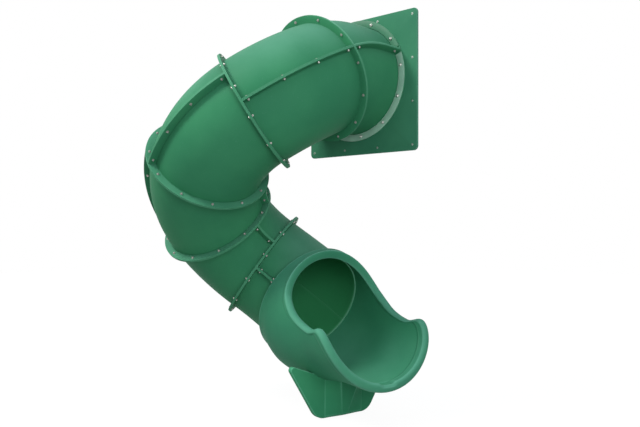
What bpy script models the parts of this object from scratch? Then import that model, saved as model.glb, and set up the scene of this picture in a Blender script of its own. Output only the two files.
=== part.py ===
"""Spiral tube slide for a play tower: panel, bolted half-shell sections, exit scoop and foot.

Metres, +Z up. The origin is the middle of the entrance, in the back plane of the panel.
The tube leaves the panel along -Y and winds down to the ground.
"""

from math import asin, atan2, cos, degrees, hypot, pi, radians, sin, sqrt, tan

import bmesh
import bpy
from mathutils import Matrix, Vector

# Driving dimensions, in metres and degrees.
gap = 0.0003

tube_inner_radius = 0.305
shell_wall = 0.0065
flange_width = 0.042
bend_radius = 0.5385
elbow_angle = 45.0
elbow_count = 5
elbow_clocking = 30.0
bolts_per_ring = 12

entry_height = 1.902
entry_straight = 0.120
entry_bend = 22.3
entry_bend_clock = 78.2
first_elbow_clocking = -54.8

panel_border = 0.0415
panel_thickness = 0.0127
panel_corner = 0.026
panel_shift = 0.038
panel_screw_inset = 0.032
panel_screws_per_side = 4

mount_ring_thickness = 0.005
mount_ring_end_gap = 0.012
mount_ring_clearance = 0.0007

bolt_shank = 0.008
bolt_head_radius = 0.0085
bolt_head_height = 0.005
nut_radius = 0.0075
nut_height = 0.0065
joint_overlap = 0.003
hole_clearance = 0.0004
mount_cap_radius = 0.0105
mount_cap_height = 0.009
mount_head_radius = 0.009
mount_head_height = 0.005
panel_screw_head_radius = 0.006
panel_screw_head_height = 0.0025
panel_screw_shank = 0.005
panel_screw_length = 0.038

outer_seam_bolts = 4
inner_seam_bolts = 2
outer_seam_margin = 0.034
inner_seam_margin = 0.032
entry_seam_margin = 0.040

socket_depth = 0.036
socket_clearance = 0.0012
seam_stop_before_collar = 0.012
last_inner_seam_margin = 0.014
scoop_wall = 0.040
scoop_belly = 0.028
belly_start = 0.090
belly_end = 0.100
belly_out = 0.500
scoop_bend_radius = 0.475
scoop_lift = 3.0
scoop_flare = 0.027
scoop_rim_round = 0.016
flare_start = 0.305
hood_reach = 0.106
hood_shoulder_angle = 53.0
hood_shoulder_reach = 0.184
side_angle = 84.0
side_reach = 0.305
dip_angle = 97.0
dip_reach = 0.452
ear_angle = 96.5
ear_reach = 0.560
cheek_angle = 111.0
cheek_reach = 0.617
lip_corner_angle = 140.0
lip_corner_reach = 0.653
lip_reach = 0.667
collar_screw_count = 3
collar_screw_spread = 20.0
collar_screw_shank = 0.006
collar_screw_head_radius = 0.008
collar_screw_head_height = 0.004
collar_screw_tip_wall = 0.001

foot_position = 0.297
foot_clearance = 0.0008
foot_thickness = 0.030
foot_base_width = 0.360
foot_corner = 0.090
foot_tip_width = 0.756
foot_tip_height = 0.316
foot_tip_round = 0.018
foot_shoulder_width = 0.400
foot_shoulder_height = 0.250
foot_saddle_width = 0.300
foot_rib_width = 0.260
foot_rib_front_top = 0.134
foot_rib_front_base = 0.028
foot_rib_top_depth = 0.067
foot_rib_base_depth = 0.010
foot_screw_spacing = 0.160
foot_screw_shank = 0.010
foot_screw_head_radius = 0.010
foot_screw_head_height = 0.006
foot_screw_recess = 0.012
foot_screw_bite = 0.020

# Mesh fineness.
half_shell_facets = 12
elbow_steps = 5
entry_steps = 3
scoop_columns = 44
scoop_rows = 6
rim_steps = 3
hex_sides = 6
corner_steps = 4
smooth_angle = 32.0
weld_distance = 0.00001

# Sizes that follow from the driving dimensions.
tube_outer_radius = tube_inner_radius + shell_wall
flange_radius = tube_outer_radius + flange_width
panel_side = 2 * (flange_radius + panel_border)
bolt_circle = tube_outer_radius + flange_width / 2
joint_stack = shell_wall + gap / 2
ground = -entry_height
entry_seam = radians(first_elbow_clocking)


def start_scene():
    """Empty the file and make one collection for the parts and one for the cutters."""
    for old in list(bpy.data.objects):
        bpy.data.objects.remove(old, do_unlink=True)
    for old in list(bpy.data.collections):
        bpy.data.collections.remove(old)
    parts = bpy.data.collections.new("spiral_tube_slide")
    cutters = bpy.data.collections.new("cutters")
    bpy.context.scene.collection.children.link(parts)
    bpy.context.scene.collection.children.link(cutters)
    return parts, cutters


parts, cutters = start_scene()


def material(name, colour, roughness, metallic=0.0):
    """A plain surface with one colour."""
    surface = bpy.data.materials.new(name)
    surface.use_nodes = True
    shader = surface.node_tree.nodes["Principled BSDF"]
    shader.inputs["Base Color"].default_value = (*colour, 1.0)
    shader.inputs["Roughness"].default_value = roughness
    shader.inputs["Metallic"].default_value = metallic
    return surface


moulded_green = (0.060, 0.235, 0.130)
pale_green = (0.160, 0.330, 0.220)
plated_steel = (0.560, 0.570, 0.560)
pale_steel = (0.700, 0.700, 0.660)


def add_part(name, mesh, colour, roughness=0.45, metallic=0.0, place=None):
    """Link one finished mesh as a named part with its own surface."""
    part = bpy.data.objects.new(name, mesh)
    parts.objects.link(part)
    if place is not None:
        part.matrix_world = place
    if not mesh.materials:
        mesh.materials.append(None)
    part.material_slots[0].link = "OBJECT"
    part.material_slots[0].material = material(name, colour, roughness, metallic)
    mesh.shade_smooth()
    mesh.set_sharp_from_angle(angle=radians(smooth_angle))
    return part


def add_cutter(name, mesh, place=None):
    """Link a mesh that only cuts: drawn as wire and left out of the model."""
    cutter = bpy.data.objects.new(name, mesh)
    cutters.objects.link(cutter)
    if place is not None:
        cutter.matrix_world = place
    cutter.hide_render = True
    cutter.display_type = "WIRE"
    return cutter


def add_wall(sheet, thickness):
    """Give an open sheet its wall, on the side its faces look to."""
    wall = sheet.modifiers.new("wall", "SOLIDIFY")
    wall.thickness = thickness
    wall.offset = 1.0
    wall.use_even_offset = True


def cut(part, cutter):
    """Take the cutter's volume out of the part."""
    step = part.modifiers.new("cut_" + cutter.name, "BOOLEAN")
    step.operation = "DIFFERENCE"
    step.solver = "EXACT"
    step.object = cutter


def join(part, addition):
    """Fuse another closed mesh to the part."""
    step = part.modifiers.new("join_" + addition.name, "BOOLEAN")
    step.operation = "UNION"
    step.solver = "EXACT"
    step.object = addition


def mesh_from(shape, name):
    """Turn a bmesh into a mesh whose faces point outwards."""
    bmesh.ops.recalc_face_normals(shape, faces=shape.faces)
    mesh = bpy.data.meshes.new(name)
    shape.to_mesh(mesh)
    shape.free()
    return mesh


def add_prism(shape, sides, radius, low, high, place):
    """Add an upright prism between two heights, seen in the axes of place."""
    turn = pi / sides
    middle = Matrix.Translation((0.0, 0.0, (low + high) / 2))
    bmesh.ops.create_cone(
        shape,
        cap_ends=True,
        segments=sides,
        radius1=radius,
        radius2=radius,
        depth=high - low,
        matrix=place @ middle @ Matrix.Rotation(turn, 4, "Z"),
    )


def square_radius(width):
    """Corner radius of a square bar of this width."""
    return width / 2 / cos(pi / 4)


def bend_step(angle, radius):
    """Move along a bend towards -X: the frame after turning by angle about the bend's centre."""
    centre = Matrix.Translation((-radius, 0.0, 0.0))
    back = Matrix.Translation((radius, 0.0, 0.0))
    return centre @ Matrix.Rotation(-angle, 4, "Y") @ back


def forward(length):
    """Move straight ahead along the tube."""
    return Matrix.Translation((0.0, 0.0, length))


def roll(degrees):
    """Turn about the tube's own axis."""
    return Matrix.Rotation(radians(degrees), 4, "Z")


def around(angle, radius):
    """A point on the tube's cross-section; angle zero is the outside of the bend."""
    return Vector((cos(angle) * radius, sin(angle) * radius, 0.0))


def elbow_frames(angle_list):
    """Frames along one elbow, at the given angles in degrees."""
    return [bend_step(radians(angle), bend_radius) for angle in angle_list]


def entry_frames():
    """Frames along the entry: a straight collar, then a short bend downwards."""
    frames = [Matrix.Identity(4), forward(entry_straight)]
    for step in range(1, entry_steps + 1):
        turn = radians(entry_bend * step / entry_steps)
        frames.append(forward(entry_straight) @ bend_step(turn, bend_radius))
    return frames


def half_shell_sheet(name, frames, seam, end_flange=True, last_seam_frame=None):
    """One half of a tube as a sheet: tube wall, ring flanges at its ends, seam flanges at its sides.

    The sheet is the joint side of the shell: its thickness is added on the outside.
    seam is the angle at which the half starts, and the half spans 180 degrees from there.
    """
    shape = bmesh.new()
    count = half_shell_facets
    last = len(frames) - 1
    seam_last = last if last_seam_frame is None else last_seam_frame
    angles = [seam + pi * i / count for i in range(count + 1)]
    wall = [[shape.verts.new(f @ around(a, tube_inner_radius)) for a in angles] for f in frames]
    first_rim = [shape.verts.new(frames[0] @ around(a, flange_radius)) for a in angles]
    for j in range(last):
        for i in range(count):
            shape.faces.new((wall[j][i], wall[j][i + 1], wall[j + 1][i + 1], wall[j + 1][i]))
    for i in range(count):
        shape.faces.new((wall[0][i + 1], wall[0][i], first_rim[i], first_rim[i + 1]))
    if end_flange:
        last_rim = [shape.verts.new(frames[last] @ around(a, flange_radius)) for a in angles]
        for i in range(count):
            shape.faces.new((wall[last][i], wall[last][i + 1], last_rim[i + 1], last_rim[i]))
    for i in (0, count):
        edge = [first_rim[i]]
        for j in range(1, seam_last):
            edge.append(shape.verts.new(frames[j] @ around(angles[i], flange_radius)))
        if end_flange:
            edge.append(last_rim[i])
        else:
            edge.append(shape.verts.new(frames[seam_last] @ around(angles[i], flange_radius)))
        for j in range(seam_last):
            corners = (wall[j][i], wall[j + 1][i], edge[j + 1], edge[j])
            shape.faces.new(corners if i == 0 else corners[::-1])
    mesh = bpy.data.meshes.new(name)
    shape.to_mesh(mesh)
    shape.free()
    return mesh


def ring_bolt_frames(frame, seam):
    """Where the bolts of a ring joint sit: on the bolt circle, halfway between the seams' lines."""
    pitch = 2 * pi / bolts_per_ring
    places = []
    for k in range(bolts_per_ring):
        angle = seam + pitch * (k + 0.5)
        places.append(frame @ Matrix.Translation(around(angle, bolt_circle)))
    return places


def seam_bolt_frame(frame, angle, side):
    """A bolt through the seam flanges: side 1 heads it towards growing angles, side -1 the other way."""
    outward = around(angle, 1.0)
    across = around(angle + side * pi / 2, 1.0)
    along = outward.cross(across)
    axes = Matrix((along, outward, across)).transposed().to_4x4()
    return frame @ Matrix.Translation(around(angle, bolt_circle)) @ axes


def spread(count, low, high):
    """Evenly spaced values from low to high."""
    return [low + (high - low) * k / (count - 1) for k in range(count)]


def elbow_seam_places(end_angle, last_inner_margin):
    """Seam bolts of an elbow: a long row on the outside of the bend, a short one on the inside."""
    outer = degrees(outer_seam_margin / (bend_radius + bolt_circle))
    inner = degrees(inner_seam_margin / (bend_radius - bolt_circle))
    last_inner = degrees(last_inner_margin / (bend_radius - bolt_circle))
    places = []
    for angle in spread(outer_seam_bolts, outer, end_angle - outer):
        places.append(seam_bolt_frame(bend_step(radians(angle), bend_radius), 0.0, 1))
    for angle in spread(inner_seam_bolts, inner, end_angle - last_inner):
        places.append(seam_bolt_frame(bend_step(radians(angle), bend_radius), pi, -1))
    return places


def entry_seam_places():
    """Seam bolts of the entry: one near each end of both seams."""
    end_turn = radians(entry_bend) - entry_seam_margin / bend_radius
    near_panel = forward(entry_seam_margin)
    near_joint = forward(entry_straight) @ bend_step(end_turn, bend_radius)
    places = []
    for frame in (near_panel, near_joint):
        places.append(seam_bolt_frame(frame, entry_seam, 1))
        places.append(seam_bolt_frame(frame, entry_seam + pi, -1))
    return places


def finished(holder):
    """The mesh of an object with its modifiers applied; the object itself is removed."""
    bpy.context.view_layer.update()
    view = bpy.context.evaluated_depsgraph_get()
    mesh = bpy.data.meshes.new_from_object(holder.evaluated_get(view))
    mesh.name = holder.name
    bpy.data.objects.remove(holder)
    return mesh


def prism_mesh(name, sides, radius, low, high):
    """An upright prism on the Z axis."""
    shape = bmesh.new()
    add_prism(shape, sides, radius, low, high, Matrix.Identity(4))
    return mesh_from(shape, name)


def fused(name, first, others):
    """One closed mesh from overlapping closed meshes."""
    whole = add_cutter(name, first)
    for number, other in enumerate(others):
        join(whole, add_cutter(name + "_piece_%d" % number, other))
    return finished(whole)


def bolt_mesh(name, head_radius, head_height, shank, seat, tip):
    """A bolt with a six-sided head above seat and a square shank down to tip."""
    head = prism_mesh(name + "_head", hex_sides, head_radius, seat, seat + head_height)
    top = seat + head_height / 2
    body = prism_mesh(name + "_shank", 4, square_radius(shank), tip, top)
    return fused(name, head, [body])


def repeat(name, unit, places):
    """Copies of one mesh, one at each place, in a single mesh."""
    shape = bmesh.new()
    for place in places:
        first = len(shape.verts)
        shape.from_mesh(unit)
        shape.verts.ensure_lookup_table()
        bmesh.ops.transform(shape, matrix=place, verts=shape.verts[first:])
    return mesh_from(shape, name)


def square_holes(name, places, width, low, high):
    """Square clearance holes between two heights of each place."""
    size = square_radius(width + 2 * hole_clearance)
    return repeat(name, prism_mesh(name + "_unit", 4, size, low, high), places)


# Heads and nuts of the joints are measured from the middle of the joint, and each sinks into its flange.
bolt_head = prism_mesh(
    "bolt_head",
    hex_sides,
    bolt_head_radius,
    joint_stack - joint_overlap,
    joint_stack + bolt_head_height,
)
bolt_nut = prism_mesh(
    "bolt_nut",
    hex_sides,
    nut_radius,
    -joint_stack - nut_height,
    -joint_stack + joint_overlap,
)


def merged(name, meshes):
    """Several meshes in one, still separate bodies."""
    shape = bmesh.new()
    for mesh in meshes:
        shape.from_mesh(mesh)
    return mesh_from(shape, name)


def half_shell(name, sheet, frame, apart, heads, nuts, hole_cutters):
    """One half shell: its sheet with the wall's thickness, and the bolt heads and nuts on its flanges."""
    place = frame @ Matrix.Translation(apart)
    shell = add_part(name, sheet, moulded_green, 0.5, 0.0, place)
    add_wall(shell, shell_wall)
    groups = [repeat("heads", bolt_head, heads), repeat("nuts", bolt_nut, nuts)]
    join(shell, add_cutter(name + "_fasteners", merged(name + "_fasteners", groups), frame))
    for cutter in hole_cutters:
        cut(shell, cutter)
    return shell


def tube_section(name, frame, frames, seam, seam_places, first_bolted, last_bolted, stop=None):
    """Two half shells. Bolt heads sit on the first ring and the upper seams, nuts on the other flanges."""
    half = bolts_per_ring // 2
    first_ring = ring_bolt_frames(frames[0] @ forward(-gap / 2), seam)
    last_ring = ring_bolt_frames(frames[-1] @ forward(gap / 2), seam)
    hole_cutters = []
    if not first_bolted:
        low, high = -panel_thickness, joint_stack + mount_ring_thickness
        holes = square_holes(name + "_mount_holes", first_ring, bolt_shank, low, high)
        hole_cutters.append(add_cutter(name + "_mount_holes", holes, frame))
    shells = []
    for number, label in enumerate(("upper", "lower")):
        start = seam + pi * number
        sheet = half_shell_sheet(name + "_" + label, frames, start, last_bolted, stop)
        apart = around(start + pi / 2, gap / 2)
        own = slice(half * number, half * (number + 1))
        heads = first_ring[own] if first_bolted else []
        nuts = last_ring[own] if last_bolted else []
        if label == "upper":
            heads = heads + seam_places
        else:
            nuts = nuts + seam_places
        shells.append(half_shell(name + "_" + label, sheet, frame, apart, heads, nuts, hole_cutters))
    return shells


def entry_frame():
    """Frame of the tube's start on the panel: Z ahead along -Y, X to the outside of its bend."""
    clock = radians(entry_bend_clock)
    x_axis = Vector((cos(clock), 0.0, sin(clock)))
    z_axis = Vector((0.0, -1.0, 0.0))
    y_axis = z_axis.cross(x_axis)
    axes = Matrix((x_axis, y_axis, z_axis)).transposed().to_4x4()
    return Matrix.Translation((0.0, -panel_thickness - gap, 0.0)) @ axes


def flat_outline(name, points, depth):
    """A flat plate with this outline, as a filled curve turned into a mesh."""
    outline = bpy.data.curves.new(name, "CURVE")
    outline.dimensions = "2D"
    outline.fill_mode = "BOTH"
    outline.extrude = depth / 2
    spline = outline.splines.new("POLY")
    spline.points.add(len(points) - 1)
    for point, (x, y) in zip(spline.points, points):
        point.co = (x, y, 0.0, 1.0)
    spline.use_cyclic_u = True
    holder = bpy.data.objects.new(name, outline)
    cutters.objects.link(holder)
    mesh = finished(holder)
    shape = bmesh.new()
    shape.from_mesh(mesh)
    bmesh.ops.remove_doubles(shape, verts=shape.verts, dist=weld_distance)
    return mesh_from(shape, name)


def round_corner(before, corner, after, radius, steps):
    """Points of the arc that rounds one corner of an outline."""
    corner = Vector(corner)
    to_before = (Vector(before) - corner).normalized()
    to_after = (Vector(after) - corner).normalized()
    half_angle = to_before.angle(to_after) / 2
    middle = corner + (to_before + to_after).normalized() * radius / sin(half_angle)
    first = corner + to_before * radius / tan(half_angle) - middle
    last = corner + to_after * radius / tan(half_angle) - middle
    points = []
    for k in range(steps + 1):
        share = k / steps
        direction = first.normalized().slerp(last.normalized(), share)
        point = middle + direction * radius
        points.append((point.x, point.y))
    return points


def panel_screw_points():
    """Screws round the panel's edge, four to a side, as (x, z), but none where the entry's flange lies."""
    half = panel_side / 2 - panel_screw_inset
    values = spread(panel_screws_per_side, -half, half)
    edge = (values[0], values[-1])
    clear = flange_radius + panel_screw_head_radius + gap
    points = []
    for x in values:
        for z in values:
            on_edge = x in edge or z in edge
            if on_edge and hypot(x + panel_shift, z - panel_shift) > clear:
                points.append((x + panel_shift, z - panel_shift))
    return points


def build_panel(start):
    """The square panel with its entrance hole, mounting holes and the screws round its edge."""
    half = panel_side / 2
    corners = [(half, half), (-half, half), (-half, -half), (half, -half)]
    outline = []
    for k, corner in enumerate(corners):
        outline += round_corner(corners[k - 1], corner, corners[k - 3], panel_corner, corner_steps)
    plate = flat_outline("mounting_panel", outline, panel_thickness)
    upright = Matrix.Rotation(pi / 2, 4, "X")
    centre = Matrix.Translation((panel_shift, -panel_thickness / 2, -panel_shift))
    panel = add_part("mounting_panel", plate, moulded_green, 0.5, 0.0, centre @ upright)

    facets = 2 * half_shell_facets
    facet_turn = Matrix.Rotation(entry_seam - pi / facets, 4, "Z")
    low, high = -2 * panel_thickness, panel_thickness
    hole = bmesh.new()
    add_prism(hole, facets, tube_inner_radius, low, high, facet_turn)
    cut(panel, add_cutter("entrance_hole", mesh_from(hole, "entrance_hole"), start))

    places = ring_bolt_frames(Matrix.Identity(4), entry_seam)
    holes = square_holes("panel_bolt_holes", places, bolt_shank, low, high)
    cut(panel, add_cutter("panel_bolt_holes", holes, start))
    recess_top = -panel_thickness + mount_head_height + gap
    recess_size = mount_head_radius + hole_clearance
    recess = prism_mesh("recess", hex_sides, recess_size, low, recess_top)
    recesses = repeat("panel_head_recesses", recess, places)
    cut(panel, add_cutter("panel_head_recesses", recesses, start))

    screw = bolt_mesh(
        "panel_screw",
        panel_screw_head_radius,
        panel_screw_head_height,
        panel_screw_shank,
        gap,
        -panel_screw_length,
    )
    outward = Matrix.Rotation(pi / 2, 4, "X")
    spots = []
    for number, (x, z) in enumerate(panel_screw_points(), 1):
        spot = Matrix.Translation((x, -panel_thickness, z)) @ outward
        add_part("panel_screw_%02d" % number, screw, plated_steel, 0.4, 0.9, spot)
        spots.append(spot)
    screw_holes = square_holes("panel_screw_holes", spots, panel_screw_shank, low, high)
    cut(panel, add_cutter("panel_screw_holes", screw_holes))


def build_mount_ring(start):
    """Two pale half rings that clamp the entry's flange to the panel, with bolts and cap nuts."""
    low = shell_wall + mount_ring_clearance
    high = low + mount_ring_thickness
    places = ring_bolt_frames(Matrix.Identity(4), entry_seam)
    holes = square_holes("mount_ring_holes", places, bolt_shank, 0.0, 2 * high)
    cutter = add_cutter("mount_ring_holes", holes, start)
    inner = (tube_outer_radius + gap) / cos(pi / half_shell_facets / 2)
    end_turn = (shell_wall + mount_ring_end_gap) / inner
    for number, label in enumerate(("upper", "lower")):
        side = entry_seam + pi * number
        sweep = spread(half_shell_facets + 1, side + end_turn, side + pi - end_turn)
        outline = [(cos(a) * inner, sin(a) * inner) for a in sweep]
        outline += [(cos(a) * flange_radius, sin(a) * flange_radius) for a in reversed(sweep)]
        name = "mount_ring_" + label
        plate = flat_outline(name, outline, mount_ring_thickness)
        place = start @ forward((low + high) / 2)
        ring = add_part(name, plate, pale_green, 0.5, 0.0, place)
        cut(ring, cutter)

    cap_low = high + gap
    cap_high = cap_low + mount_cap_height
    seat = panel_thickness - mount_head_height
    tip = -(cap_low + mount_cap_height / 2)
    bolt = bolt_mesh("mount_bolt", mount_head_radius, mount_head_height, bolt_shank, seat, tip)
    cap = prism_mesh("mount_cap", hex_sides, mount_cap_radius, -cap_high, -cap_low)
    fastener = fused("mount_fastener", bolt, [cap])
    turned = Matrix.Rotation(pi, 4, "X")
    for number, place in enumerate(places, 1):
        spot = start @ place @ turned
        add_part("mount_bolt_%02d" % number, fastener, pale_steel, 0.35, 0.8, spot)


def build_tube(start):
    """The entry and the elbows, each clocked against the one before it."""
    frames = entry_frames()
    tube_section("entry", start, frames, entry_seam, entry_seam_places(), False, True)
    joint = start @ frames[-1] @ roll(first_elbow_clocking)
    full_turn = bend_step(radians(elbow_angle), bend_radius)
    for number in range(1, elbow_count):
        place = joint @ forward(gap)
        angles = spread(elbow_steps + 1, 0.0, elbow_angle)
        seams = elbow_seam_places(elbow_angle, inner_seam_margin)
        tube_section("elbow_%d" % number, place, elbow_frames(angles), 0.0, seams, True, True)
        joint = place @ full_turn @ roll(elbow_clocking)
    place = joint @ forward(gap)
    stop = elbow_angle - degrees((socket_depth + seam_stop_before_collar) / bend_radius)
    angles = spread(elbow_steps, 0.0, stop) + [elbow_angle]
    seams = elbow_seam_places(stop, last_inner_seam_margin)
    last = "elbow_%d" % elbow_count
    shells = tube_section(last, place, elbow_frames(angles), 0.0, seams, True, False, elbow_steps - 1)
    return place @ full_turn, shells


class ScoopPath:
    """The scoop's centre line: the tube's own bend in the collar, an arc to nearly level, then straight."""

    def __init__(self, tube_end):
        ahead = tube_end.to_3x3() @ Vector((0.0, 0.0, 1.0))
        down = Vector((0.0, 0.0, -1.0))
        below = (down - ahead * down.dot(ahead)).normalized()
        local = tube_end.to_3x3().inverted() @ below
        self.tube_end = tube_end
        self.level = Matrix.Rotation(atan2(local.y, local.x), 4, "Z")
        self.turn = radians(scoop_lift) - asin(ahead.z)

    def frame(self, reach):
        """Frame at a distance past the tube's end; its X points down, away from the bend's centre."""
        if reach < 0.0:
            return self.tube_end @ bend_step(reach / bend_radius, bend_radius) @ self.level
        bent = min(reach / scoop_bend_radius, self.turn)
        straight = reach - bent * scoop_bend_radius
        return self.tube_end @ self.level @ bend_step(bent, scoop_bend_radius) @ forward(straight)

    def point(self, reach, angle, radius):
        """A point on the scoop, its angle counted from the top."""
        return self.frame(reach) @ around(pi + angle, radius)


def smooth_step(share):
    """0 to 1 with level ends."""
    share = min(max(share, 0.0), 1.0)
    return share * share * (3.0 - 2.0 * share)


def scoop_radius(reach, base):
    """The scoop widens a little from its hood to its lip."""
    return base + scoop_flare * smooth_step((reach - flare_start) / (lip_reach - flare_start))


def rim_knots():
    """The rim from the top of the hood to the lip: (share of the half round, angle, reach)."""
    return [
        (0.00, 0.0, hood_reach),
        (0.23, hood_shoulder_angle, hood_shoulder_reach),
        (0.38, side_angle, side_reach),
        (0.50, dip_angle, dip_reach),
        (0.62, ear_angle, ear_reach),
        (0.72, cheek_angle, cheek_reach),
        (0.84, lip_corner_angle, lip_corner_reach),
        (1.00, 180.0, lip_reach),
    ]


def rim_at(share):
    """Angle and reach of the rim, on a smooth curve through its knots; share runs from -1 to 1."""
    knots = rim_knots()
    share, mirrored = abs(share), share < 0.0
    index = 0
    while index < len(knots) - 2 and share > knots[index + 1][0]:
        index += 1
    (a, *first), (b, *last) = knots[index], knots[index + 1]
    t = (share - a) / (b - a)
    values = []
    for axis in (0, 1):
        before = knot_slope(knots, index, axis) * (b - a)
        after = knot_slope(knots, index + 1, axis) * (b - a)
        value = first[axis] * (1 + 2 * t) * (1 - t) ** 2 + last[axis] * t * t * (3 - 2 * t)
        values.append(value + before * t * (1 - t) ** 2 - after * t * t * (1 - t))
    angle = radians(values[0])
    return (-angle if mirrored else angle), values[1]


def knot_slope(knots, index, axis):
    """Slope of the rim's angle or reach at a knot; the mirrored half continues past both ends."""
    value = axis + 1
    if index == 0:
        return knots[1][1] / knots[1][0] if axis == 0 else 0.0
    if index == len(knots) - 1:
        rise = knots[-1][1] - knots[-2][1]
        return rise / (knots[-1][0] - knots[-2][0]) if axis == 0 else 0.0
    before, after = knots[index - 1], knots[index + 1]
    return (after[value] - before[value]) / (after[0] - before[0])


def rim_inset(share, depth):
    """Angle and reach of a line that runs inside the rim at this depth, square to the rim."""
    step = 0.01
    size = abs(share)
    before, after = rim_at(max(size - step, 0.0)), rim_at(min(size + step, 1.0))
    around_rim = (after[0] - before[0]) * tube_outer_radius
    along_rim = after[1] - before[1]
    length = hypot(around_rim, along_rim)
    angle, reach = rim_at(size)
    angle += depth * along_rim / length / tube_outer_radius
    reach -= depth * around_rim / length
    return (-angle if share < 0.0 else angle), reach


def belly_depth(reach, angle):
    """How far the outer wall hangs below a plain round one: all of it underneath, none on top."""
    start = smooth_step(reach / belly_start)
    end = 1.0 - smooth_step((reach - belly_end) / (belly_out - belly_end))
    return scoop_belly * start * end * ((1.0 - cos(angle)) / 2) ** 2


def scoop_row(shape, path, shares, part, depth, inside, wall, out):
    """One ring of the scoop: part is 0 at the tube's end and 1 at the rim, out is 0 inside, 1 outside."""
    row = []
    for share in shares:
        rim_angle, rim_reach = rim_inset(share, depth)
        angle = pi * share + (rim_angle - pi * share) * part
        reach = rim_reach * part
        radius = scoop_radius(reach, inside) + (wall + belly_depth(reach, angle)) * out
        row.append(shape.verts.new(path.point(reach, angle, radius)))
    return row


def scoop_mesh(name, path, inside, wall):
    """The scoop as a closed loft: a circle at the collar, the rim's curve in front, and a round rim."""
    shape = bmesh.new()
    half = scoop_columns // 2
    shares = [(k - half) / half for k in range(scoop_columns)]
    parts = [k / scoop_rows for k in range(scoop_rows + 1)]
    rows = [[shape.verts.new(path.point(-socket_depth, pi * s, inside)) for s in shares]]
    for part in parts:
        rows.append(scoop_row(shape, path, shares, part, scoop_rim_round, inside, wall, 0.0))
    for k in range(1, rim_steps):
        turn = pi * k / rim_steps
        depth = scoop_rim_round * (1.0 - sin(turn))
        out = (1.0 - cos(turn)) / 2
        rows.append(scoop_row(shape, path, shares, 1.0, depth, inside, wall, out))
    for part in reversed(parts):
        rows.append(scoop_row(shape, path, shares, part, scoop_rim_round, inside, wall, 1.0))
    rows.append([shape.verts.new(path.point(-socket_depth, pi * s, inside + wall)) for s in shares])
    for low, high in zip(rows, rows[1:] + rows[:1]):
        for k in range(scoop_columns):
            after = (k + 1) % scoop_columns
            shape.faces.new((low[k], low[after], high[after], high[k]))
    return mesh_from(shape, name)


def build_scoop(tube_end, shells):
    """The open exit scoop, whose collar slides over the end of the tube, and its screws."""
    path = ScoopPath(tube_end)
    tube_corner = tube_inner_radius + shell_wall / cos(pi / half_shell_facets / 2)
    base = (tube_corner + socket_clearance) / cos(pi / scoop_columns)
    mesh = scoop_mesh("exit_scoop", path, base, scoop_wall)
    scoop = add_part("exit_scoop", mesh, moulded_green, 0.5)

    outside = base + scoop_wall
    middle = -socket_depth / 2
    frames = []
    for turn in spread(collar_screw_count, -collar_screw_spread, collar_screw_spread):
        angle = pi + radians(turn)
        seat = path.frame(middle) @ Matrix.Translation(around(pi + angle, outside))
        frames.append(seat @ Matrix.Rotation(pi + angle, 4, "Z") @ Matrix.Rotation(pi / 2, 4, "Y"))
    tip = -(outside - tube_inner_radius - collar_screw_tip_wall)
    screw = bolt_mesh(
        "collar_screw",
        collar_screw_head_radius,
        collar_screw_head_height,
        collar_screw_shank,
        gap,
        tip,
    )
    for number, spot in enumerate(frames, 1):
        add_part("collar_screw_%d" % number, screw, plated_steel, 0.4, 0.9, spot)
    deep = tip - 4 * collar_screw_tip_wall
    holes = square_holes("collar_screw_holes", frames, collar_screw_shank, deep, scoop_wall)
    cutter = add_cutter("collar_screw_holes", holes)
    for part in [scoop] + shells:
        cut(part, cutter)
    return scoop, path, base


def foot_outline(axis_height, radius):
    """The foot from ahead: a narrow base, round corners, splayed sides and a saddle in the scoop's wall."""
    base, tip = foot_base_width / 2, foot_tip_width / 2
    shoulder, saddle = foot_shoulder_width / 2, foot_saddle_width / 2
    bottom, right, left = (0.0, 0.0), (base, 0.0), (-base, 0.0)
    right_tip, left_tip = (tip, foot_tip_height), (-tip, foot_tip_height)
    right_shoulder = (shoulder, foot_shoulder_height)
    left_shoulder = (-shoulder, foot_shoulder_height)
    points = round_corner(bottom, right, right_tip, foot_corner, corner_steps)
    points += round_corner(right, right_tip, right_shoulder, foot_tip_round, 2)
    points.append(right_shoulder)
    for x in spread(2 * corner_steps + 1, saddle, -saddle):
        points.append((x, axis_height - sqrt(radius**2 - x**2)))
    points.append(left_shoulder)
    points += round_corner(left_shoulder, left_tip, left, foot_tip_round, 2)
    points += round_corner(left_tip, left, bottom, foot_corner, corner_steps)
    return points


def foot_rib(top):
    """The rib on the foot's front, a loft: deep and wide under the scoop, running out at the ground."""
    shape = bmesh.new()
    base, back = foot_rib_width / 2, -foot_thickness / 2
    rows = []
    for share in spread(corner_steps, 0.0, 1.0):
        front = foot_rib_front_base + (foot_rib_front_top - foot_rib_front_base) * share
        depth = foot_rib_base_depth + (foot_rib_top_depth - foot_rib_base_depth) * share
        height = top * share
        left = [(-base, back), (-base, gap), (-front / 2, depth)]
        right = [(front / 2, depth), (base, gap), (base, back)]
        line = left + right
        rows.append([shape.verts.new((x, height, z)) for x, z in line])
    for low, high in zip(rows, rows[1:]):
        for k in range(len(low)):
            after = (k + 1) % len(low)
            shape.faces.new((low[k], low[after], high[after], high[k]))
    shape.faces.new(rows[0])
    shape.faces.new(rows[-1])
    return mesh_from(shape, "foot_rib")


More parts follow.
